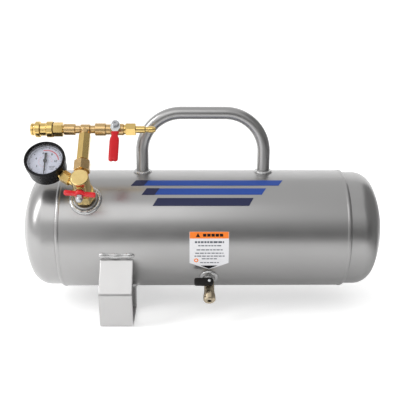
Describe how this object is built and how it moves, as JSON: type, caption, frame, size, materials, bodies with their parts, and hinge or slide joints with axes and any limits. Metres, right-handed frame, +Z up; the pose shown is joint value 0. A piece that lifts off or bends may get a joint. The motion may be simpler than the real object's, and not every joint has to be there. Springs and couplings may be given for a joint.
{
  "type": "air receiver tank",
  "caption": "Small horizontal steel air tank with a carry handle, strap feet, and a brass manifold with shut-off, dial gauge and couplings.",
  "frame": {"origin": "centre of the part's box at floor level, below the middle of the tank's axis", "axes": "+X along the tank away from the manifold, +Z up, the manifold and drain face -Y"},
  "size_m": [0.463, 0.2069, 0.2584],
  "materials": {
    "silver_paint": "satin metallic paint",
    "blue_vinyl": "gloss vinyl",
    "label_film": "printed film",
    "brass_bright": "turned brass",
    "brass_tan": "forged brass",
    "bare_steel": "plain steel",
    "zinc_plate": "zinc plated",
    "nickel_brass": "dull nickel over brass",
    "seat_plastic": "smooth",
    "red_paint": "red enamel",
    "red_vinyl": "dipped vinyl",
    "seal_rubber": "smooth",
    "black_case": "black enamel",
    "lens_clear": "clear",
    "dial_white": "printed dial",
    "needle_black": "matt black",
    "black_plastic": "moulded"
  },
  "bodies": {
    "tank": {"shell": "silver_paint", "head_left": "silver_paint", "head_right": "silver_paint", "seam_weld_left": "silver_paint", "seam_weld_right": "silver_paint", "carry_handle": "silver_paint", "handle_welds": "silver_paint", "foot_front": "silver_paint", "foot_rear": "silver_paint", "foot_welds": "silver_paint", "valve_bung": "silver_paint", "drain_bung": "silver_paint", "bung_welds": "silver_paint", "stripe_decal": "blue_vinyl", "info_label": "label_film", "valve_body": "brass_bright", "valve_seats": "seat_plastic", "valve_gland": "brass_tan", "riser_nipple": "brass_tan", "riser_extension": "brass_bright", "tee": "brass_tan", "collar_left": "brass_tan", "collar_right": "brass_tan", "coupler_body": "brass_bright", "coupler_spring": "bare_steel", "coupler_balls": "bare_steel", "coupler_nose_ring": "brass_bright", "coupler_seal": "seal_rubber", "poppet_spring": "bare_steel", "lever_valve_body": "brass_tan", "lever_valve_end": "brass_bright", "lever_valve_seats": "seat_plastic", "inlet_plug": "brass_bright", "gauge_case": "black_case", "gauge_bezel": "black_case", "gauge_lens": "lens_clear", "gauge_dial": "dial_white", "gauge_movement": "brass_tan", "gauge_bourdon": "brass_tan", "gauge_stem": "brass_bright", "drain_body": "nickel_brass", "drain_seats": "seat_plastic"},
    "shutoff": {"valve_ball": "bare_steel", "valve_stem": "bare_steel", "tee_handle": "red_paint", "handle_nut": "bare_steel"},
    "sleeve": {"coupler_sleeve": "brass_bright"},
    "poppet": {"coupler_poppet": "brass_tan"},
    "lever": {"lever_valve_ball": "bare_steel", "lever_valve_stem": "bare_steel", "lever_plate": "zinc_plate", "lever_grip": "red_vinyl", "lever_nut": "bare_steel"},
    "needle": {"gauge_needle": "needle_black"},
    "sector": {"gauge_sector": "brass_tan"},
    "drain": {"drain_ball": "bare_steel", "drain_stem": "bare_steel", "drain_lever": "black_plastic", "drain_screw": "zinc_plate"}
  },
  "joints": [
    {"name": "shutoff_turn", "type": "hinge", "parent": "tank", "child": "shutoff", "pos_m": [-0.1446, -0.09405, 0.17083], "axis": [0, 0.7071, 0.7071], "range_deg": [-10, 80]},
    {"name": "sleeve_slide", "type": "slide", "parent": "tank", "child": "sleeve", "axis": [1, 0, 0], "range_m": [0, 0.0035], "stiffness_N_per_m": 600, "springref_m": -0.002},
    {"name": "poppet_slide", "type": "slide", "parent": "tank", "child": "poppet", "axis": [1, 0, 0], "range_m": [0, 0.003], "stiffness_N_per_m": 300, "springref_m": -0.002},
    {"name": "lever_turn", "type": "hinge", "parent": "tank", "child": "lever", "pos_m": [-0.1071, -0.03748, 0.24154], "axis": [0, -0.7071, 0.7071], "range_deg": [0, 90]},
    {"name": "needle_turn", "type": "hinge", "parent": "tank", "child": "needle", "pos_m": [-0.19025, -0.05767, 0.20155], "axis": [0, 0.7071, -0.7071], "range_deg": [0, 270]},
    {"name": "sector_turn", "type": "hinge", "parent": "tank", "child": "sector", "pos_m": [-0.1825, -0.05308, 0.18917], "axis": [0, 0.7071, -0.7071], "range_deg": [-63, 0]},
    {"name": "drain_turn", "type": "hinge", "parent": "tank", "child": "drain", "pos_m": [0.007, -0.07885, 0.05307], "axis": [0, -0.5878, 0.809], "range_deg": [0, 90]}
  ],
  "couplings": [
    {"joint": "needle_turn", "follows": "sector_turn", "ratio": -4.2778}
  ]
}
